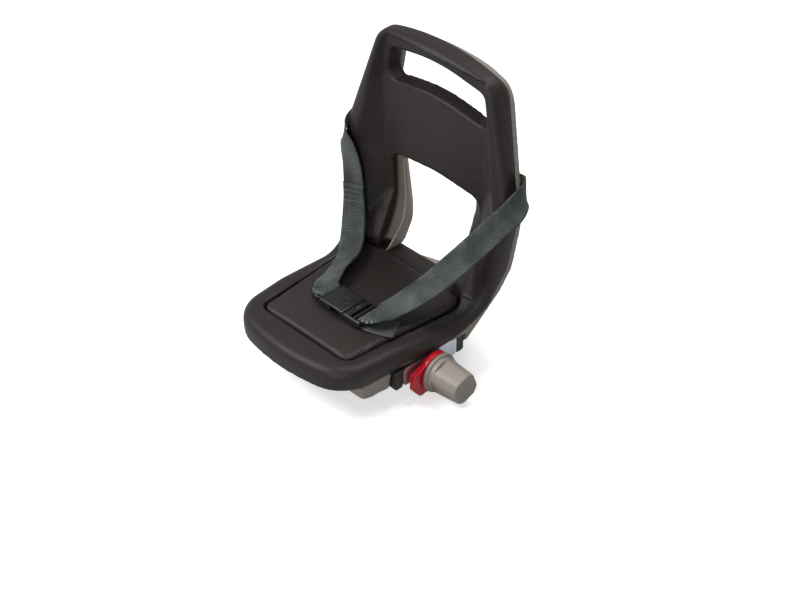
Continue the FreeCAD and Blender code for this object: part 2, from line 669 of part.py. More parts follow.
# Red lock ring with a thumb tab, free to turn on the bush
tab_outline = [(-14, axis_z + 24, 3), (-46, axis_z + 14, 7), (-47, axis_z - 11, 8), (-33, axis_z - 29, 8),
               (-6, axis_z - 26, 3), (0, axis_z, 0)]
tab = extrude("lock_tab", sketch("tab_outline", tab_outline, ON_SIDE, lock_x), "Sizes.lock_thick")
disc = shaft("lock_disc", "Sizes.lock_r", lock_x, lock_end)
hub = shaft("lock_hub", "Sizes.bush_r + 6", rail_right + 0.4, lock_x + 1)
lock_blank = rounded("lock_blank", fuse("lock_sum", tab, disc, hub), 1.5,
                     lambda shape, e: abs(middle(e).x - lock_end) < 0.01)
lock_ring = cut("lock_ring", lock_blank, shaft("lock_bore", "Sizes.bush_r + Sizes.run_fit", rail_right - 2, knob_x + 5))

# Knob: round flange and a tapered grip with four flats
flange_end = knob_x + knob_flange
flange = shaft("knob_flange_disc", "Sizes.knob_flange_r", knob_x, flange_end)
grip = doc.addObject("Part::Cone", "knob_grip")
bind(grip, "Radius1", "Sizes.knob_base_r")
bind(grip, "Radius2", "Sizes.knob_tip_r")
bind(grip, "Height", "Sizes.knob_long - Sizes.knob_flange + 1")
grip.Placement = Placement(Vector(flange_end - 1, 0, axis_z), Rotation(Vector(0, 0, 1), ALONG_X))
flat_start = size("flat_start", 7)
flat_depth = size("flat_depth", 4.5)
flats = []
for i in range(4):
    turn = Rotation(ALONG_X, 20 + 90 * i)
    tilt = Rotation(ALONG_Y, 3.2)
    flat = box("knob_flat%d" % i, 80, 80, 20, 0, 0, 0)
    corner = tilt.multVec(Vector(0, -40, 0)) + Vector(0, 0, knob_base_r - flat_depth)
    flat.Placement = Placement(Vector(flange_end + flat_start, 0, axis_z) + turn.multVec(corner), turn.multiply(tilt))
    flats.append(flat)
knob_blank = rounded("knob_blank", fuse("knob_sum", flange, cut("knob_faceted", grip, *flats)), 2.5,
                     lambda shape, e: middle(e).x > knob_x + knob_long - 0.5
                     or (e.Closed and abs(e.BoundBox.YLength - 2 * knob_flange_r) < 0.1))
knob = cut("knob", knob_blank, shaft("knob_bore", pressed, knob_x - 1, spindle_end + 0.3))

# Lap belt: flat webbing from the bracket round both wings to the buckle
belt_wide = size("belt_wide", 38)
belt_thick = size("belt_thick", 1.6)
belt_gap = size("belt_gap", 0.5)
buckle_y = size("buckle_y", 45)
buckle_z = size("buckle_z", 73)


def ribbon(name, stations):
    """Flat strap through stations (centre, width direction), smoothed between them."""
    pts = [Vector(*c) for c, d in stations]
    dirs = [Vector(*d) for c, d in stations]
    rings = []
    n = len(pts)
    steps = 4
    for i in range(n - 1):
        p0, p1, p2, p3 = (pts[min(max(i + k, 0), n - 1)] for k in (-1, 0, 1, 2))
        bend, twist = p0 * 2 - p1 * 5 + p2 * 4 - p3, p1 * 3 - p0 - p2 * 3 + p3
        for k in range(steps + (i == n - 2)):
            f = k / steps
            c = (p1 * 2 + (p2 - p0) * f + bend * f ** 2 + twist * f ** 3) * 0.5
            tangent = ((p2 - p0) + bend * (2 * f) + twist * (3 * f ** 2)).normalize()
            d = dirs[i] * (1 - f) + dirs[i + 1] * f
            d = (d - tangent * d.dot(tangent)).normalize()
            side, up = d * (belt_wide / 2), tangent.cross(d) * (belt_thick / 2)
            rings.append(Part.makePolygon([c - side - up, c + side - up, c + side + up, c - side + up, c - side - up]))
    f = doc.addObject("Part::Feature", name)
    f.Shape = Part.makeLoft(rings, True, True)
    return f


def on_back(x, z=bracket_z):
    """Belt's depth on the frame's back: flat in the middle, then down the flank."""
    flank_y = rim_front_y + edge_depth + frame_band + frame_gap
    flank_y += (half_width + flank_rise * (z - belt_level) - abs(x)) / flank_run
    return min(back_line(outer_y, z), flank_y) + belt_thick / 2 + belt_gap


flat_lie = (0, math.tan(math.radians(recline)), 1)
flank_lie = (0, flank_rise / flank_run, 1)
risen = (-0.12, flank_rise / flank_run + 0.12 / flank_run, 1)
half = half_width
top_z, low_z = buckle_z + 9, buckle_z + 3.5
belt_left = ribbon("belt_left", [
    ((-0.3, on_back(0), bracket_z), flat_lie), ((-32, on_back(32), bracket_z), flat_lie),
    ((-44, on_back(44) + 0.6, bracket_z), flat_lie), ((-60, on_back(60) + 0.3, bracket_z), flank_lie),
    ((-100, on_back(100) + 0.2, bracket_z), flank_lie), ((20 - half, on_back(half - 20) + 0.2, bracket_z), flank_lie),
    ((8.5 - half, 150.5, 249.5), (0.2, 0, 1)), ((3 - half, 144, 248.5), (0.3, -0.05, 0.95)),
    ((2.5 - half, 128, 244), (0.3, -0.2, 0.93)), ((5 - half, 116, 237), (0.33, -0.28, 0.9)),
    ((14 - half, 106, 227), (0.45, -0.18, 0.88)), ((24 - half, 103, 212), (0.65, -0.02, 0.75)),
    ((32.5 - half, 101.5, 190), (0.9, 0.05, 0.35)), ((39 - half, 99, 163), (0.97, 0.15, 0.12)),
    ((45 - half, 95, 131), (0.97, 0.2, 0.1)), ((-117.5, 84.5, 105), (0.9, 0.4, 0.1)), ((-105, 67, 85), (0.85, 0.5, 0)),
    ((-86, 33, 77.5), (0.86, 0.5, 0)), ((-64, -12, 79), (0.75, 0.66, 0)), ((-51, -39, 79.5), (0.35, 0.93, 0)),
    ((-44, 1 - buckle_y, 79.5), (0.05, 1, 0)), ((-37.2, -buckle_y, 79.5), (0, 1, 0))])
belt_right = ribbon("belt_right", [
    ((0.3, on_back(0), bracket_z), flat_lie), ((32, on_back(32), bracket_z), flat_lie),
    ((44, on_back(44) + 0.8, bracket_z), flat_lie), ((60, on_back(60, 251) + 0.6, 251), risen),
    ((100, on_back(100, 256) + 0.8, 256), risen), ((half - 22, on_back(half - 22, 262) + 1, 262), risen),
    ((half - 8, 153, 264), (-0.06, 0.05, 1)), ((half + 3, 147, 265), (-0.05, 0, 1)),
    ((half + 8, 134, 262), (-0.15, 0, 0.98)), ((half + 4.5, 114, 250), (-0.4, -0.05, 0.9)),
    ((half - 9, 92, 227), (-0.65, -0.08, 0.75)), ((half - 27, 74, 197), (-0.77, -0.08, 0.63)),
    ((121, 54, 160), (-0.77, 0, 0.63)), ((95, 27, 122), (-0.72, 0.3, 0.6)), ((74, -8, 98), (-0.5, 0.75, 0.4)),
    ((65, -33, 88), (-0.2, 0.95, 0.15)), ((59, 2 - buckle_y, top_z + 1.4), (-0.03, 1, 0)),
    ((53.2, -buckle_y, top_z), (0, 1, 0))])
belt_tail = ribbon("belt_tail", [
    ((54.2, -buckle_y, low_z), (0, 1, 0)), ((58, 0.2 - buckle_y, low_z - 0.3), (0, 1, 0)), ((66, -43, 75), (-0.2, 0.98, 0)),
    ((80, -37, 74), (-0.35, 0.93, 0)), ((92, -31, 74.4), (-0.4, 0.9, 0))])

# Belt bracket: bridge over the webbing on the back
on_bracket = Placement(bracket_at, bracket_tilt)
bridge = box("bracket_bridge", "2 * Sizes.bracket_half", "Sizes.bracket_thick", "2 * Sizes.bracket_foot",
             -bracket_half, 0, -bracket_foot)
bridge.Placement = on_bracket.multiply(bridge.Placement)
passage = box("bracket_passage", 2 * bracket_half + 2, belt_thick + 1.4, belt_wide + 3, -bracket_half - 1, -0.4,
              -belt_wide / 2 - 1.5)
passage.Placement = on_bracket.multiply(passage.Placement)
belt_bracket = cut("belt_bracket", bridge, passage, *bracket_bores)
bracket_screws = doc.addObject("Part::Compound", "bracket_screws")
bracket_screws.Links = [
    fuse("bracket_screw%d" % i,
         cylinder("bracket_shank%d" % i, "Sizes.bracket_hole_r - 0.1", bracket_thick + 2.9, *(p - bracket_axis * 2.7),
                  bracket_axis),
         cylinder("bracket_head%d" % i, 3.4, 2.4, *(p + bracket_axis * bracket_thick), bracket_axis))
    for i, p in enumerate(bracket_spots)]

# Side-release buckle on the pad: socket with open sides, tongue with prongs, thumb dimple and ladder bars
buckle_wide = size("buckle_wide", 48)
buckle_thick = size("buckle_thick", 13)
socket_long = size("socket_long", 54)
socket_x = size("socket_x", -36)
tongue_long = size("tongue_long", 34)
tongue_thick = size("tongue_thick", 11)
prong_fit = size("prong_fit", 0.4)
throat_high = size("throat_high", 8)
mid_z = buckle_z + buckle_thick / 2


def on_buckle(name, long, wide, high, x, z):
    """Block across the buckle, centred on the strap's line."""
    return box(name, long, wide, high, x, -buckle_y - wide / 2, z)


def upright(shape, e):
    return abs(along(e).z) > 0.9


def level(shape, e):
    return abs(along(e).z) < 0.1 or e.Closed


sock = box("socket_block", "Sizes.socket_long", "Sizes.buckle_wide", "Sizes.buckle_thick", socket_x,
           -buckle_y - buckle_wide / 2, buckle_z)
sock = rounded("socket_corners", sock, 9, lambda shape, e: upright(shape, e) and middle(e).x < socket_x + 1)
sock = rounded("socket_round", sock, 3.5, lambda shape, e: not upright(shape, e))
throat = on_buckle("socket_throat", socket_long, buckle_wide - 11, throat_high, socket_x + 12, mid_z - throat_high / 2)
side_gap = on_buckle("socket_sides", 20, buckle_wide + 12, throat_high + 1, socket_x + 28, mid_z - throat_high / 2 - 0.5)
web_slot = on_buckle("socket_slot", 5.5, belt_wide + 2, 40, socket_x + 3.5, buckle_z - 10)
buckle_socket = cut("buckle_socket", sock, throat, side_gap, web_slot)
tongue_x = socket_x + socket_long + prong_fit
tongue_low = buckle_z + 1
base = box("tongue_base", "Sizes.tongue_long", "Sizes.buckle_wide", "Sizes.tongue_thick", tongue_x,
           -buckle_y - buckle_wide / 2, tongue_low)
base = rounded("tongue_round", base, 3.5, lambda shape, e: not upright(shape, e))
prong_reach = socket_long / 2 + 1
prongs = [box("prong%d" % i, prong_reach + 2, 6, throat_high - 2 * prong_fit, tongue_x - prong_reach,
              -buckle_y + y, mid_z - throat_high / 2 + prong_fit) for i, y in enumerate((-17.5, 11.5))]
guide = on_buckle("prong_guide", 22, 8, 5, tongue_x - 20, mid_z - 2.5)
dimple = doc.addObject("Part::Ellipsoid", "tongue_dimple")
dimple.Radius1, dimple.Radius2, dimple.Radius3 = 1.6, 3.2, 8
dimple.Placement.Base = Vector(tongue_x + 6.5, -buckle_y, tongue_low + tongue_thick)
ladder = [on_buckle("tongue_slot%d" % i, 5, belt_wide + 2, 40, tongue_x + 12 + 10 * i, buckle_z - 10) for i in (0, 1)]
buckle_tongue = cut("buckle_tongue", fuse("tongue_blank", base, guide, *prongs), dimple, *ladder)

nodes = {"seat_shell": shell, "back_frame": frame, "shell_screws": shell_screws, "seat_pad": seat_pad,
         "clamp_rail": clamp_rail, "spindle": spindle, "spindle_bush": spindle_bush, "spindle_collar": spindle_collar,
         "spindle_clip": spindle_clip, "sliding_jaw": moving_jaw, "jaw_nut": jaw_nut, "fixed_jaw": fixed_jaw,
         "clamp_bolts": clamp_bolts, "rail_block_front": end_blocks[0], "rail_block_rear": end_blocks[1],
         "lock_ring": lock_ring, "knob": knob, "belt_left": belt_left, "belt_right": belt_right, "belt_tail": belt_tail,
         "belt_bracket": belt_bracket, "bracket_screws": bracket_screws, "buckle_socket": buckle_socket,
         "buckle_tongue": buckle_tongue}
doc.recompute()
bad = [o.Name for o in doc.Objects if "Invalid" in o.State or "Error" in o.State
       or (hasattr(o, "Shape") and (o.Shape.isNull() or not o.Shape.isValid()))]
if bad:
    raise RuntimeError("not built: %s" % bad)
os.makedirs("parts", exist_ok=True)
for name, o in nodes.items():
    o.Label = name
    print(name, round(o.Shape.Volume), o.Shape.BoundBox, len(o.Shape.Faces), len(o.Shape.Solids))
    o.Shape.exportStep("parts/%s.step" % name)
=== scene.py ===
import json
import math

import bmesh
import bpy
from mathutils import Matrix, Vector

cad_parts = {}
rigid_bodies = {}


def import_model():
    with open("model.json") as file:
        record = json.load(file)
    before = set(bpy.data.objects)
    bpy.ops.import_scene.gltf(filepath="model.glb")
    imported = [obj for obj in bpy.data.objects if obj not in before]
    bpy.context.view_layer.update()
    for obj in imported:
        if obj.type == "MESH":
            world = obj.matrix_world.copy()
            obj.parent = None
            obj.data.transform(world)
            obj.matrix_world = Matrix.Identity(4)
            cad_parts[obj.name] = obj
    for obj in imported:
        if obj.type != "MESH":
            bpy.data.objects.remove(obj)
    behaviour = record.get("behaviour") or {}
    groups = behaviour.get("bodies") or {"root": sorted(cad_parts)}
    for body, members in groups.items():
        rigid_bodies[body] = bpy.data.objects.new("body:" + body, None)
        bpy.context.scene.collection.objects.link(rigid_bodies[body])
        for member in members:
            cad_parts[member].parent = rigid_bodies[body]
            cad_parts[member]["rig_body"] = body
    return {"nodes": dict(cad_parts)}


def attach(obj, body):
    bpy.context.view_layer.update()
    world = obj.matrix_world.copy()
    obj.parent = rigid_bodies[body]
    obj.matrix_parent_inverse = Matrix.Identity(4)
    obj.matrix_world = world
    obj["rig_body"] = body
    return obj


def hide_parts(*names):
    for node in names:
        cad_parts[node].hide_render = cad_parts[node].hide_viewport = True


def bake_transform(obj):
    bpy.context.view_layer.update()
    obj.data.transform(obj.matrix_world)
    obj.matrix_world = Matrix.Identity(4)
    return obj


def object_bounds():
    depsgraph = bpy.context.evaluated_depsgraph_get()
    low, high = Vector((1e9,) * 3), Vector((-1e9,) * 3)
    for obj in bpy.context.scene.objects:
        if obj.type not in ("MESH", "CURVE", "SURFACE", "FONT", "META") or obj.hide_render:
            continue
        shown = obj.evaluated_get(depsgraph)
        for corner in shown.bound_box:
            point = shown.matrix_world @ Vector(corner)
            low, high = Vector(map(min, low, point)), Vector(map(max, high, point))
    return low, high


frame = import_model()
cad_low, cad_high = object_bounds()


# Carrier clamp rail and its two jaws: zinc-plated folded steel, the rail bolted under the seat tub.
# The plating is a cool grey with faint rolling lines and cloudy patches.
MM = 0.001
WELD = 0.01 * MM
SMOOTH_BELOW = math.radians(35)


class Wire:
    """One output of a shader node: arithmetic on it adds Math nodes to its tree."""

    def __init__(self, tree, socket):
        self.tree = tree
        self.socket = socket

    def math(self, operation, a, b=0.0):
        return shader_node(self.tree, "ShaderNodeMath", {"operation": operation}, {0: a, 1: b})

    def __add__(self, other):
        return self.math("ADD", self, other)

    __radd__ = __add__

    def __sub__(self, other):
        return self.math("SUBTRACT", self, other)

    def __rsub__(self, other):
        return self.math("SUBTRACT", other, self)

    def __mul__(self, other):
        return self.math("MULTIPLY", self, other)

    __rmul__ = __mul__


def plug(tree, socket, value):
    """Link a wire to a socket, or set the socket's own value."""
    if isinstance(value, Wire):
        tree.links.new(value.socket, socket)
    else:
        socket.default_value = value


def shader_node(tree, kind, settings, sockets, out=0):
    """A node of any kind: its settings are set first, then the values or links of its sockets."""
    node = tree.nodes.new(kind)
    for key, value in settings.items():
        setattr(node, key, value)
    for key, value in sockets.items():
        plug(tree, node.inputs[key], value)
    return Wire(tree, node.outputs[out])


class Finish:
    """A material: nodes around one Principled shader, whose even values are set on its own sockets."""

    def __init__(self, name, **even):
        self.material = bpy.data.materials.new(name)
        self.material.use_nodes = True
        self.tree = self.material.node_tree
        self.shader = self.tree.nodes["Principled BSDF"]
        for socket, value in even.items():
            self.shader.inputs[socket.replace("_", " ")].default_value = value

    def node(self, kind, settings, sockets, out=0):
        return shader_node(self.tree, kind, settings, sockets, out)

    def place(self, scale=(1, 1, 1)):
        """Object coordinates, stretched to draw a pattern out along an axis."""
        where = self.node("ShaderNodeTexCoord", {}, {}, "Object")
        return self.node("ShaderNodeMapping", {}, {"Vector": where, "Scale": scale})

    def along(self, where, axis):
        """One coordinate of a place."""
        return self.node("ShaderNodeSeparateXYZ", {}, {"Vector": where}, axis)

    def noise(self, where, scale, detail=2.0):
        return self.node("ShaderNodeTexNoise", {}, {"Vector": where, "Scale": scale, "Detail": detail})

    def blend(self, share, first, second):
        """A colour between two colours."""
        return self.node("ShaderNodeMix", {"data_type": "RGBA"}, {0: share, 6: first, 7: second}, 2)

    def emboss(self, height, strength, distance):
        """Bump from a height wire into the shader's normal."""
        bump = self.node("ShaderNodeBump", {},
                         {"Height": height, "Strength": strength, "Distance": distance})
        plug(self.tree, self.shader.inputs["Normal"], bump)

    def feed(self, **wires):
        """Wires into the shader's sockets of those names."""
        for socket, wire in wires.items():
            plug(self.tree, self.shader.inputs[socket.replace("_", " ")], wire)


def zinc_finish():
    f = Finish("zinc_plate", Metallic=1.0)
    clouds = f.noise(f.place(), 60)
    lines = f.noise(f.place((40, 900, 900)), 1.0)
    f.feed(Base_Color=f.blend(clouds, (0.50, 0.55, 0.60, 1), (0.72, 0.78, 0.83, 1)),
           Roughness=0.26 + 0.16 * lines)
    f.emboss(lines, 0.15, 0.0002)
    return f.material


def placed(name, data):
    """A new object in the scene, at the origin."""
    piece = bpy.data.objects.new(name, data)
    bpy.context.scene.collection.objects.link(piece)
    return piece


def welded_copy(node):
    """A CAD node's mesh with its triangles joined and its round faces shaded smooth."""
    mesh = frame["nodes"][node].data.copy()
    mesh.name = node + "_shape"
    work = bmesh.new()
    work.from_mesh(mesh)
    bmesh.ops.remove_doubles(work, verts=work.verts, dist=WELD)
    for edge in work.edges:
        edge.smooth = edge.is_manifold and edge.calc_face_angle(0.0) < SMOOTH_BELOW
    for face in work.faces:
        face.smooth = True
    work.to_mesh(mesh)
    work.free()
    return placed(node + "_piece", mesh)


def painted(piece, material):
    """Give a piece one material all over."""
    piece.data.materials.clear()
    piece.data.materials.append(material)
    return piece


def riding(piece, node):
    """Let a piece ride with a CAD node's body."""
    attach(piece, frame["nodes"][node]["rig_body"])


def finished(piece, node, material):
    """Give a piece its material and let it stand for its CAD node."""
    riding(painted(piece, material), node)
    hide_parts(node)


zinc = zinc_finish()
for node in ("clamp_rail", "fixed_jaw", "sliding_jaw"):
    finished(welded_copy(node), node, zinc)


# Spindle and its small metal parts: turned bright steel, with zinc-plated screws and bolts.
# The jaw's nut is turned brass.
SPINDLE_PITCH = 5 * MM


def turned_finish(name, dark, light, rough):
    f = Finish(name, Metallic=1.0)
    rings = f.noise(f.place((2500, 60, 60)), 1.0)
    f.feed(Base_Color=f.blend(rings, dark, light), Roughness=rough + 0.15 * rings)
    f.emboss(rings, 0.1, 0.0001)
    return f.material


def thread_finish(pitch):
    f = Finish("threaded_steel", Metallic=1.0, Base_Color=(0.56, 0.56, 0.57, 1))
    along = f.along(f.place(), "X")
    crest = along.math("PINGPONG", along, pitch / 2) * (2 / pitch)
    f.feed(Roughness=0.2 + 0.15 * f.noise(f.place(), 900))
    f.emboss(crest, 0.8, 0.0006)
    return f.material


bright_steel = turned_finish("bright_steel", (0.45, 0.45, 0.46, 1), (0.66, 0.66, 0.67, 1), 0.2)
screw_zinc = turned_finish("zinc_screw", (0.48, 0.50, 0.53, 1), (0.70, 0.73, 0.76, 1), 0.25)
nut_brass = turned_finish("turned_brass", (0.48, 0.33, 0.12, 1), (0.68, 0.50, 0.22, 1), 0.25)
finished(welded_copy("spindle"), "spindle", thread_finish(SPINDLE_PITCH))
for node in ("spindle_collar", "spindle_clip"):
    finished(welded_copy(node), node, bright_steel)
for node in ("clamp_bolts", "shell_screws", "bracket_screws"):
    finished(welded_copy(node), node, screw_zinc)
finished(welded_copy("jaw_nut"), "jaw_nut", nut_brass)


# Black moulded pieces: the spindle's bush, the rail's end blocks and the belt bracket.
# Glass-filled nylon with a dull spark-eroded surface.
MOULDED_EDGE = 0.6 * MM
FLAT_WITHIN = math.radians(1)
EDGE_ABOVE = math.radians(40)


def nylon_finish(name, colour, rough):
    f = Finish(name, Base_Color=colour)
    grain = f.noise(f.place(), 2600, 3)
    f.feed(Roughness=rough + 0.2 * grain)
    f.emboss(grain, 0.2, 0.0002)
    return f.material


def baked(piece):
    """Turn a piece's live modifiers into plain mesh."""
    bpy.context.view_layer.update()
    done = bpy.data.meshes.new_from_object(piece.evaluated_get(bpy.context.evaluated_depsgraph_get()))
    piece.modifiers.clear()
    piece.data = done
    return piece


def edged_copy(node, radius):
    """A copy of a CAD node with its flat faces made whole and its sharp edges broken by a small radius."""
    piece = welded_copy(node)
    work = bmesh.new()
    work.from_mesh(piece.data)
    bmesh.ops.dissolve_limit(work, angle_limit=FLAT_WITHIN, verts=work.verts, edges=work.edges)
    work.to_mesh(piece.data)
    work.free()
    bevel = piece.modifiers.new("edge_radius", "BEVEL")
    bevel.width = radius
    bevel.segments = 2
    bevel.limit_method = "ANGLE"
    bevel.angle_limit = EDGE_ABOVE
    bevel.harden_normals = True
    return baked(piece)


black_nylon = nylon_finish("black_nylon", (0.012, 0.012, 0.012, 1), 0.4)
for node in ("rail_block_front", "rail_block_rear", "belt_bracket"):
    finished(edged_copy(node, MOULDED_EDGE), node, black_nylon)
finished(welded_copy("spindle_bush"), "spindle_bush", black_nylon)


# Lock ring: bright red gloss plastic that turns on the bush and keeps the knob from working loose.
# Its tab is pushed with the thumb.
LOCK_EDGE = 0.5 * MM


def gloss_red_finish():
    f = Finish("gloss_red", Base_Color=(0.68, 0.006, 0.020, 1), Coat_Weight=0.3, Coat_Roughness=0.12)
    ripple = f.noise(f.place(), 240)
    f.feed(Roughness=0.22 + 0.16 * ripple)
    f.emboss(ripple, 0.08, 0.0004)
    return f.material


finished(edged_copy("lock_ring", LOCK_EDGE), "lock_ring", gloss_red_finish())


# Knob and back frame: warm grey polypropylene, moulded with a fine satin texture.
# The frame is a hollow moulding screwed to the back and underside of the seat shell.
FRAME_VOXEL = 2.0 * MM
FRAME_PASSES = 9
FRAME_FACES = 0.3


def taupe_finish():
    f = Finish("taupe_plastic")
    grain = f.noise(f.place(), 1500, 4)
    flow = f.noise(f.place(), 9)
    f.feed(Base_Color=f.blend(flow, (0.30, 0.262, 0.228, 1), (0.35, 0.310, 0.275, 1)),
           Roughness=0.36 + 0.2 * grain)
    f.emboss(grain, 0.25, 0.0003)
    return f.material


def shaded_smooth(piece):
    """Shade every face of a piece smooth."""
    piece.data.polygons.foreach_set("use_smooth", [True] * len(piece.data.polygons))
    return piece


def soft_skin(node, voxel, passes, share=1.0):
    """A copy of a CAD node remeshed evenly and relaxed, so that its edges turn round.
    Where a share is given, only that share of its faces is kept."""
    piece = welded_copy(node)
    remesh = piece.modifiers.new("even_mesh", "REMESH")
    remesh.mode = "VOXEL"
    remesh.voxel_size = voxel
    relax = piece.modifiers.new("rounding", "SMOOTH")
    relax.factor = 0.5
    relax.iterations = passes
    if share < 1:
        thin = piece.modifiers.new("fewer_faces", "DECIMATE")
        thin.ratio = share
    return shaded_smooth(baked(piece))


taupe = taupe_finish()
finished(soft_skin("back_frame", FRAME_VOXEL, FRAME_PASSES, FRAME_FACES), "back_frame", taupe)
finished(welded_copy("knob"), "knob", taupe)


# Serrations round the knob's flange, where fingers grip it to start the thread.
# One small tooth is repeated on a circle of points.
TEETH = 72
TEETH_R = 30.4 * MM
TEETH_X = 147.2 * MM
AXIS_Z = 10 * MM
TOOTH = (3.4 * MM, 1.5 * MM, 1.9 * MM)
BEAD_ROUNDING = 0.3


def repeat_tree():
    """Geometry nodes: one shape set on every point, turned so that its X follows the point's run."""
    tree = bpy.data.node_groups.new("repeat_on_points", "GeometryNodeTree")
    for name, way, kind in (("Points", "INPUT", "Geometry"), ("Shape", "INPUT", "Object"),
                            ("Material", "INPUT", "Material"), ("Geometry", "OUTPUT", "Geometry")):
        tree.interface.new_socket(name, in_out=way, socket_type="NodeSocket" + kind)
    kinds = {"given": "NodeGroupInput", "shape": "GeometryNodeObjectInfo",
             "run": "GeometryNodeInputNamedAttribute",
             "up": "GeometryNodeInputNamedAttribute", "turn": "FunctionNodeAxesToRotation",
             "set": "GeometryNodeInstanceOnPoints", "real": "GeometryNodeRealizeInstances",
             "paint": "GeometryNodeSetMaterial", "result": "NodeGroupOutput"}
    nodes = {name: tree.nodes.new(kind) for name, kind in kinds.items()}
    for name in ("run", "up"):
        nodes[name].data_type = "FLOAT_VECTOR"
        nodes[name].inputs["Name"].default_value = name
    nodes["turn"].primary_axis = "X"
    nodes["turn"].secondary_axis = "Z"
    links = [("given", "Points", "set", "Points"), ("given", "Shape", "shape", "Object"),
             ("shape", "Geometry", "set", "Instance"), ("run", "Attribute", "turn", "Primary Axis"),
             ("up", "Attribute", "turn", "Secondary Axis"), ("turn", "Rotation", "set", "Rotation"),
             ("set", "Instances", "real", "Geometry"), ("real", "Geometry", "paint", "Geometry"),
             ("given", "Material", "paint", "Material"), ("paint", "Geometry", "result", "Geometry")]
    for source, out, target, into in links:
        tree.links.new(nodes[source].outputs[out], nodes[target].inputs[into])
    return tree


def repeated(name, spots, shape, material):
    """A piece with a shape on every spot (place, run, up); the single shape is then taken away."""
    mesh = bpy.data.meshes.new(name)
    mesh.from_pydata([place for place, run, up in spots], [], [])
    for layer, index in (("run", 1), ("up", 2)):
        values = mesh.attributes.new(layer, "FLOAT_VECTOR", "POINT")
        values.data.foreach_set("vector", [c for spot in spots for c in spot[index]])
    piece = placed(name, mesh)
    modifier = piece.modifiers.new("repeat", "NODES")
    modifier.node_group = repeat_on_points
    inputs = [item for item in repeat_on_points.interface.items_tree if item.in_out == "INPUT"]
    sockets = {item.name: item.identifier for item in inputs}
    modifier[sockets["Shape"]] = shape
    modifier[sockets["Material"]] = material
    baked(piece)
    bpy.data.objects.remove(shape)
    return piece


def piece_from(name, mesh):
    """A new object from a finished bmesh, which is let go."""
    data = bpy.data.meshes.new(name)
    mesh.to_mesh(data)
    mesh.free()
    return placed(name, data)


def bead(name, long, wide, high):
    """A small block with rounded edges, centred on its place."""
    mesh = bmesh.new()
    bmesh.ops.create_cube(mesh, size=1.0, matrix=Matrix.Diagonal((long, wide, high, 1)))
    rounding = min(long, wide, high) * BEAD_ROUNDING
    bmesh.ops.bevel(mesh, geom=mesh.edges, offset=rounding, segments=2, affect="EDGES")
    return piece_from(name, mesh)


repeat_on_points = repeat_tree()
tooth_spots = []
for k in range(TEETH):
    turn = 2 * math.pi * k / TEETH
    out = Vector((0, math.cos(turn), math.sin(turn)))
    tooth_spots.append((Vector((TEETH_X, 0, AXIS_Z)) + out * TEETH_R, (1, 0, 0), out))
riding(repeated("knob_teeth", tooth_spots, bead("tooth", *TOOTH), taupe), "knob")


# Seat shell: one moulding of soft black foam with a tough matt skin over it.
# Its edges come crisp off the solid and are relaxed here until they are as round as a foam skin's.
SHELL_VOXEL = 1.8 * MM
SHELL_PASSES = 30
SHELL_FACES = 0.5


def skin_finish(name, dark, light):
    f = Finish(name, Specular_IOR_Level=0.36)
    where = f.place()
    pores = f.node("ShaderNodeTexVoronoi", {"feature": "SMOOTH_F1"}, {"Vector": where, "Scale": 620})
    grain = f.noise(where, 820, 4)
    clouds = f.noise(where, 14, 3)
    f.feed(Base_Color=f.blend(clouds, dark, light), Roughness=0.30 + 0.3 * grain)
    f.emboss(0.5 * pores + 0.8 * grain, 0.75, 0.0006)
    return f.material


shell_skin = skin_finish("soft_black_skin", (0.0130, 0.0092, 0.0080, 1), (0.0215, 0.0160, 0.0142, 1))
finished(soft_skin("seat_shell", SHELL_VOXEL, SHELL_PASSES, SHELL_FACES), "seat_shell", shell_skin)


# Seat pad: a separate soft foam pad pressed into the shell's recess, with a slightly crowned top.
# Foam pressure is simulated, so its edges roll over into the groove.
PAD_VOXEL = 3 * MM
PAD_PASSES = 3
PAD_SHRINK = 0.4 * MM
PAD_SWELL = 1.4 * MM
PAD_PRESSURE = 4
PAD_STEPS = 14


def swollen(node, voxel, cap):
    """A pad blown up from inside by cloth pressure, with no point moving past the cap."""
    piece = soft_skin(node, voxel, PAD_PASSES)
    for vertex in piece.data.vertices:
        vertex.co -= vertex.normal * PAD_SHRINK
    rest = [v.co.copy() for v in piece.data.vertices]
    cloth = piece.modifiers.new("foam_pressure", "CLOTH")
    cloth.settings.use_pressure = True
    cloth.settings.uniform_pressure_force = PAD_PRESSURE
    cloth.settings.effector_weights.gravity = 0
    for step in range(1, PAD_STEPS + 1):
        bpy.context.scene.frame_set(step)
    baked(piece)
    bpy.context.scene.frame_set(1)
    for vertex, start in zip(piece.data.vertices, rest):
        move = vertex.co - start
        if move.length > cap:
            vertex.co = start + move * (cap / move.length)
    return piece


pad = swollen("seat_pad", PAD_VOXEL, PAD_SWELL)
subdivide = pad.modifiers.new("fine", "SUBSURF")
subdivide.levels = subdivide.render_levels = 1
shaded_smooth(baked(pad))
pad_skin = skin_finish("pad_skin", (0.0170, 0.0128, 0.0115, 1), (0.0270, 0.0215, 0.0195, 1))
finished(pad, "seat_pad", pad_skin)


# Lap belt: dark grey-green polyester webbing, woven in a fine twill with a plain border at each edge.
# It runs from the bracket at the back round both sides of the shell to the buckle.
WEB_WIDE = 38 * MM
WEB_THICK = 1.6 * MM
WEB_TWILL = 4.4 * MM
WEB_BORDER = 3 * MM
STRAP_COLUMNS = 12
EDGE_INSET = 0.3
ROUTE_STEPS = 16
RECLINE = math.radians(4.9)
ALONG_BACK = (0, math.sin(RECLINE), math.cos(RECLINE))


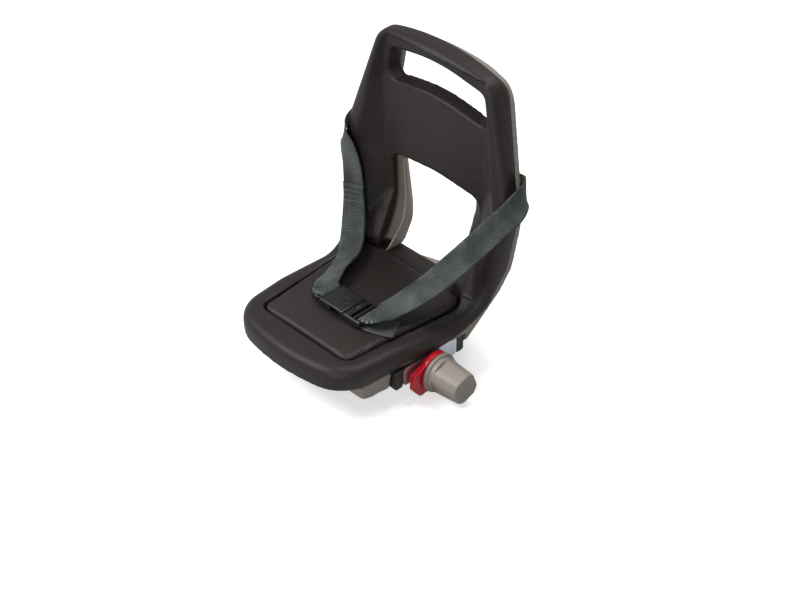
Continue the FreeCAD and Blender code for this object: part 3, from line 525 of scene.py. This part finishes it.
def webbing_finish():
    f = Finish("webbing", Sheen_Weight=0.1, Sheen_Roughness=0.4, Specular_IOR_Level=0.3)
    where = f.node("ShaderNodeUVMap", {"uv_map": "weave"}, {})
    run, across = f.along(where, "X"), f.along(where, "Y")
    off_centre = across.math("ABSOLUTE", across)
    turns = 2 * math.pi / WEB_TWILL
    rising = run.math("SINE", (run + across) * turns)
    falling = run.math("SINE", (run - across) * turns)
    twill = rising * falling
    picks = run.math("SINE", run * (2 * turns))
    body = off_centre.math("LESS_THAN", off_centre, WEB_WIDE / 2 - WEB_BORDER)
    weave = body * twill + (1 - body) * picks
    fuzz = f.noise(f.place(), 700, 3)
    # The large soft patches that lighten and darken the webbing's colour are painted sheen, not a change in
    # the yarn.
    painted_sheen = f.noise(f.place(), 26, 2)
    shade = (0.30 + 0.65 * weave) * (2.2 * painted_sheen - 0.6) + 0.7 * (fuzz - 0.45)
    f.feed(Base_Color=f.blend(shade, (0.015, 0.020, 0.018, 1), (0.290, 0.335, 0.315, 1)),
           Roughness=0.5 + 0.2 * fuzz)
    f.emboss(weave + fuzz, 0.7, 0.0004)
    return f.material


def route(stations, steps=ROUTE_STEPS):
    """Places along a smooth line through the stations, each with its width and face directions."""
    centres = [Vector(c) * MM for c, d in stations]
    widths = [Vector(d) for c, d in stations]
    last = len(centres) - 1
    line = []
    for i in range(last):
        before, here, there, after = (centres[min(max(i + k, 0), last)] for k in (-1, 0, 1, 2))
        for k in range(steps + (i == last - 1)):
            t = k / steps
            bend = 2 * before - 5 * here + 4 * there - after
            twist = 3 * here - before - 3 * there + after
            point = 0.5 * (2 * here + (there - before) * t + bend * t ** 2 + twist * t ** 3)
            heading = ((there - before) + bend * (2 * t) + twist * (3 * t ** 2)).normalized()
            width = widths[i].lerp(widths[i + 1], t)
            width = (width - heading * width.dot(heading)).normalized()
            line.append((point, width, heading.cross(width)))
    return line


def strap(name, line):
    """A closed flat strap along a route, with rounded edges and a weave map in metres."""
    mesh = bmesh.new()
    weave = mesh.loops.layers.uv.new("weave")
    rings, runs = [], []
    travelled = 0.0
    edge = 0.5 * WEB_THICK
    for k, (point, width, face) in enumerate(line):
        travelled += (point - line[k - 1][0]).length if k else 0.0
        ring = []
        for side in (1, -1):
            for c in range(STRAP_COLUMNS + 1):
                across = side * (2 * c / STRAP_COLUMNS - 1) * (WEB_WIDE / 2 - edge * EDGE_INSET)
                inner = min(1.0, (WEB_WIDE / 2 - abs(across)) / edge)
                height = side * edge * math.sqrt(max(0.0, 1 - (1 - inner) ** 2))
                ring.append((mesh.verts.new(point + width * across + face * height), across))
        rings.append(ring)
        runs.append(travelled)
    count = len(rings[0])
    for k in range(len(rings) - 1):
        for c in range(count):
            d = (c + 1) % count
            corners = ((k, c), (k, d), (k + 1, d), (k + 1, c))
            quad = mesh.faces.new([rings[a][b][0] for a, b in corners])
            quad.smooth = True
            for loop, (a, b) in zip(quad.loops, corners):
                loop[weave].uv = (runs[a], rings[a][b][1])
    mesh.faces.new([v for v, across in reversed(rings[0])])
    mesh.faces.new([v for v, across in rings[-1]])
    bmesh.ops.recalc_face_normals(mesh, faces=mesh.faces)
    return piece_from(name, mesh)


# The routes are in millimetres, in the part's frame, each station with the webbing's width direction.
# On the back frame the belt lies flat in the middle, and then goes down the flanks.
BELT_Z = 250
BACK_Y, BACK_Z = 176, 218
FLANK_X, FLANK_Y, FLANK_Z = 172, 142.8, 222
FLANK_FLARE = 0.3
FLANK_SLOPE = 3.5
WEB_LIFT = 1.3
ON_FLANK = (0, FLANK_FLARE / FLANK_SLOPE, 1)
RISING = (-0.18, 0.12, 1)


def on_back(x, z=BELT_Z, proud=0.0):
    """A place of the belt on the back frame, a little proud of it where the webbing bends."""
    flat = BACK_Y + math.tan(RECLINE) * (z - BACK_Z)
    flank = FLANK_Y + (FLANK_X + FLANK_FLARE * (z - FLANK_Z) - abs(x)) / FLANK_SLOPE
    return x, min(flat, flank) + WEB_LIFT + proud, z


LEFT_ROUTE = [
    (on_back(-0.3), ALONG_BACK), (on_back(-32), ALONG_BACK), (on_back(-44, BELT_Z, 0.6), ALONG_BACK),
    (on_back(-60, BELT_Z, 0.3), ON_FLANK), (on_back(-100, BELT_Z, 0.2), ON_FLANK),
    (on_back(-152, BELT_Z, 0.2), ON_FLANK),
    ((-163.5, 150.5, 249.5), (0.2, 0, 1)), ((-169, 144, 248.5), (0.3, -0.05, 0.95)),
    ((-169.5, 128, 244), (0.3, -0.2, 0.93)), ((-167, 116, 237), (0.33, -0.28, 0.9)),
    ((-158, 106, 227), (0.45, -0.18, 0.88)), ((-148, 103, 212), (0.65, -0.02, 0.75)),
    ((-139.5, 101.5, 190), (0.9, 0.05, 0.35)), ((-133, 99, 163), (0.97, 0.15, 0.12)),
    ((-127, 95, 131), (0.97, 0.2, 0.1)), ((-117.5, 84.5, 105), (0.9, 0.4, 0.1)),
    ((-104, 68, 86), (0.87, 0.45, 0.1)), ((-80, 37, 83), (0.82, 0.45, 0.33)),
    ((-63, -3, 84.5), (0.68, 0.45, 0.52)), ((-52, -34, 81), (0.42, 0.88, 0.2)),
    ((-44.5, -43.5, 79.8), (0.08, 1, 0)), ((-37.2, -45, 79.5), (0, 1, 0))]
RIGHT_ROUTE = [
    (on_back(0.3), ALONG_BACK), (on_back(32), ALONG_BACK), (on_back(44, BELT_Z, 0.8), ALONG_BACK),
    (on_back(60, 251, 0.6), RISING), (on_back(100, 258, 0.8), RISING), (on_back(150, 266, 1), RISING),
    ((161, 152.8, 269), (-0.14, 0.08, 1)), ((170, 147.5, 271), (-0.15, 0.1, 0.98)),
    ((176, 134, 266), (-0.25, 0.2, 0.95)), ((175.5, 114, 250), (-0.45, 0.1, 0.88)),
    ((163, 92, 227), (-0.65, -0.02, 0.75)), ((145, 74, 197), (-0.77, -0.08, 0.63)),
    ((121, 54, 160), (-0.77, 0, 0.63)), ((95, 27, 122), (-0.72, 0.3, 0.6)),
    ((74, -8, 98), (-0.5, 0.75, 0.4)), ((65, -33, 90), (-0.2, 0.95, 0.15)), ((59, -43, 87), (-0.03, 1, 0)),
    ((53, -45, 86.4), (0, 1, 0)), ((48.5, -45, 86.2), (0, 1, 0)), ((44.4, -45, 84.6), (0, 1, 0)),
    ((42.9, -45, 81), (0, 1, 0)), ((42.9, -45, 78), (0, 1, 0))]
TAIL_ROUTE = [
    ((42.9, -45, 77), (0, 1, 0)), ((43.6, -45, 74.2), (0, 1, 0)), ((46.5, -45, 73.1), (0, 1, 0)),
    ((53, -45, 73.1), (0, 1, 0)), ((59, -44.8, 73.8), (0, 1, 0)), ((66, -43, 74.6), (-0.2, 0.98, 0)),
    ((80, -37, 74), (-0.35, 0.93, 0)), ((92, -31, 74.4), (-0.4, 0.9, 0))]
webbing = webbing_finish()
left_line = route(LEFT_ROUTE)
finished(strap("belt_left_strap", left_line), "belt_left", webbing)
finished(strap("belt_tail_strap", route(TAIL_ROUTE)), "belt_tail", webbing)
belt_right = painted(strap("belt_right_strap", route(RIGHT_ROUTE)), webbing)
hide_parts("belt_right")
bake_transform(belt_right)


# Left strap's return: the webbing goes round the socket's bar and back up, lying on the strap.
# It is sewn down at its end with rows of pale thread.
LAYER = 1.75 * MM
SEAM_STATION = 13
SEAM_STEP = 3
RETURN_END = -20
RETURN_EVERY = 10
RETURN_STEPS = 8
ROUND_BAR = [
    ((-46.5, -43, 82.4), (0.1, 1, 0)), ((-40.5, -45, 85.4), (0, 1, 0)), ((-36, -45, 87.1), (0, 1, 0)),
    ((-32.4, -45, 86.9), (0, 1, 0)), ((-30, -45, 84.4), (0, 1, 0)), ((-29.7, -45, 79), (0, 1, 0))]
STITCH = 2.4 * MM
STITCH_PITCH = 1.12 * STITCH
STITCHES_HALF = 6
THREAD = 0.55 * MM
ROWS_AT = (2, 5, 8, 11)
seam_start = SEAM_STATION * ROUTE_STEPS + SEAM_STEP
on_strap = [((place + face * LAYER) / MM, width)
            for place, width, face in left_line[seam_start:RETURN_END:RETURN_EVERY]]
return_line = route(on_strap + ROUND_BAR, RETURN_STEPS)
riding(painted(strap("belt_left_return", return_line), webbing), "belt_left")


def seam_thread_finish():
    f = Finish("seam_thread", Specular_IOR_Level=0.3)
    ply = f.noise(f.place(), 4000)
    f.feed(Base_Color=f.blend(ply, (0.16, 0.175, 0.165, 1), (0.30, 0.32, 0.30, 1)),
           Roughness=0.55 + 0.2 * ply)
    f.emboss(ply, 0.3, 0.0002)
    return f.material


stitch_spots = []
for place, width, face in (return_line[row] for row in ROWS_AT):
    for c in range(-STITCHES_HALF, STITCHES_HALF + 1):
        spot = place + width * (c * STITCH_PITCH) + face * (0.5 * WEB_THICK)
        stitch_spots.append((spot, width, face))
stitch = bead("stitch", STITCH, THREAD, THREAD)
riding(repeated("left_seam", stitch_spots, stitch, seam_thread_finish()), "belt_left")


# Buckle: side-release buckle moulded in black acetal, satin, with its edges slightly rounded.
# The socket holds the left strap, the tongue has the adjuster bars.
BUCKLE_EDGE = 0.5 * MM
buckle_acetal = nylon_finish("buckle_acetal", (0.010, 0.010, 0.011, 1), 0.2)
for node in ("buckle_socket", "buckle_tongue"):
    finished(edged_copy(node, BUCKLE_EDGE), node, buckle_acetal)


# Oval bead moulded round the catch window on top of the socket, where the thumb feels for it.
# It is a thin rounded rim, in one with the socket.
OVAL_AT = Vector((4, -45, 86)) * MM
OVAL_HALF = (5.0 * MM, 8.5 * MM)
OVAL_BEAD = 0.9 * MM
OVAL_AROUND = 40
BEAD_AROUND = 10


def oval_bead():
    """A round section carried along an oval."""
    mesh = bmesh.new()
    rings = []
    for k in range(OVAL_AROUND):
        turn = 2 * math.pi * k / OVAL_AROUND
        out = Vector((math.cos(turn), math.sin(turn), 0))
        centre = OVAL_AT + Vector((OVAL_HALF[0] * out.x, OVAL_HALF[1] * out.y, 0))
        ring = []
        for c in range(BEAD_AROUND):
            tilt = 2 * math.pi * c / BEAD_AROUND
            side = math.cos(tilt) * out + Vector((0, 0, math.sin(tilt)))
            ring.append(mesh.verts.new(centre + OVAL_BEAD * side))
        rings.append(ring)
    for k in range(OVAL_AROUND):
        here, there = rings[k], rings[(k + 1) % OVAL_AROUND]
        for c in range(BEAD_AROUND):
            d = (c + 1) % BEAD_AROUND
            mesh.faces.new((here[c], there[c], there[d], here[d])).smooth = True
    bmesh.ops.recalc_face_normals(mesh, faces=mesh.faces)
    return piece_from("buckle_oval", mesh)


riding(painted(oval_bead(), buckle_acetal), "buckle_socket")


# Photo studio: a pale paper floor under three soft boxes, seen from the front corner above the seat.
# The floor and the world show white to the camera, and the floor keeps the seat's shadow.
FLOOR_HALF = 12.0
FLOOR_GAP = 0.2 * MM
GLOW_NEAR, GLOW_FAR = 0.55, 0.87
FADE_START, FADE_END = 0.8, 3.0
GLOSS_SHARE = 0.4
AMBIENT = 0.16
CAMERA_AT = (1.854, -1.761, 2.050)
CAMERA_AIM = (0.0024, 0.0640, 0.0276)
CAMERA_LENS = 99


def background_rays(tree):
    """One where a ray shows the backdrop: to the camera, through something clear, and partly in gloss."""
    seen, clear, gloss = (shader_node(tree, "ShaderNodeLightPath", {}, {}, "Is %s Ray" % kind)
                          for kind in ("Camera", "Transmission", "Glossy"))
    total = seen + clear + GLOSS_SHARE * gloss
    return total.math("MINIMUM", total, 1.0)


def studio_floor():
    mesh = bpy.data.meshes.new("studio_floor")
    z = cad_low.z - FLOOR_GAP
    mesh.from_pydata([(x * FLOOR_HALF, y * FLOOR_HALF, z) for x, y in ((-1, -1), (1, -1), (1, 1), (-1, 1))],
                     [], [(0, 1, 2, 3)])
    floor = placed("studio_floor", mesh)
    f = Finish("studio_paper", Roughness=0.9, Specular_IOR_Level=0.1, Emission_Strength=1.0)
    seen = background_rays(f.tree)
    away = f.node("ShaderNodeVectorMath", {"operation": "LENGTH"}, {0: f.place()}, "Value")
    glow = f.node("ShaderNodeMapRange", {}, {"Value": away, "From Min": FADE_START, "From Max": FADE_END,
                                             "To Min": GLOW_NEAR, "To Max": GLOW_FAR})
    f.feed(Base_Color=f.blend(seen, (0.30, 0.30, 0.30, 1), (0.95, 0.95, 0.95, 1)),
           Emission_Color=f.blend(seen * glow, (0, 0, 0, 1), (1, 1, 1, 1)))
    mesh.materials.append(f.material)


def aimed(name, data, at, aim):
    """A lamp or camera set up at one place and pointed at another."""
    held = placed(name, data)
    held.location = at
    held.rotation_euler = (Vector(aim) - Vector(at)).to_track_quat("-Z", "Y").to_euler()
    return held


def soft_box(name, at, aim, size, watts):
    lamp = bpy.data.lights.new(name, "AREA")
    lamp.shape = "DISK"
    lamp.size = size
    lamp.energy = watts
    aimed(name, lamp, at, aim)


def studio_world():
    world = bpy.data.worlds.new("studio")
    world.use_nodes = True
    tree = world.node_tree
    level = background_rays(tree) * (1 - AMBIENT) + AMBIENT
    back = tree.nodes["Background"]
    back.inputs["Color"].default_value = (1, 1, 1, 1)
    plug(tree, back.inputs["Strength"], level)
    bpy.context.scene.world = world


studio_floor()
studio_world()
soft_box("key_box", at=(-1.3, -1.7, 2.4), aim=(0, 0, 0.2), size=1.2, watts=58)
soft_box("fill_box", at=(1.3, -2.3, 1.1), aim=(0, 0, 0.15), size=0.8, watts=18)
soft_box("top_box", at=(0.2, 1.0, 2.6), aim=(0, 0.1, 0.2), size=1.2, watts=30)
camera = aimed("photo_camera", bpy.data.cameras.new("photo_camera"), CAMERA_AT, CAMERA_AIM)
camera.data.lens = CAMERA_LENS
camera.data.sensor_width = 36
camera.data.clip_end = 100
bpy.context.scene.camera = camera
bpy.context.scene.view_settings.view_transform = "Standard"
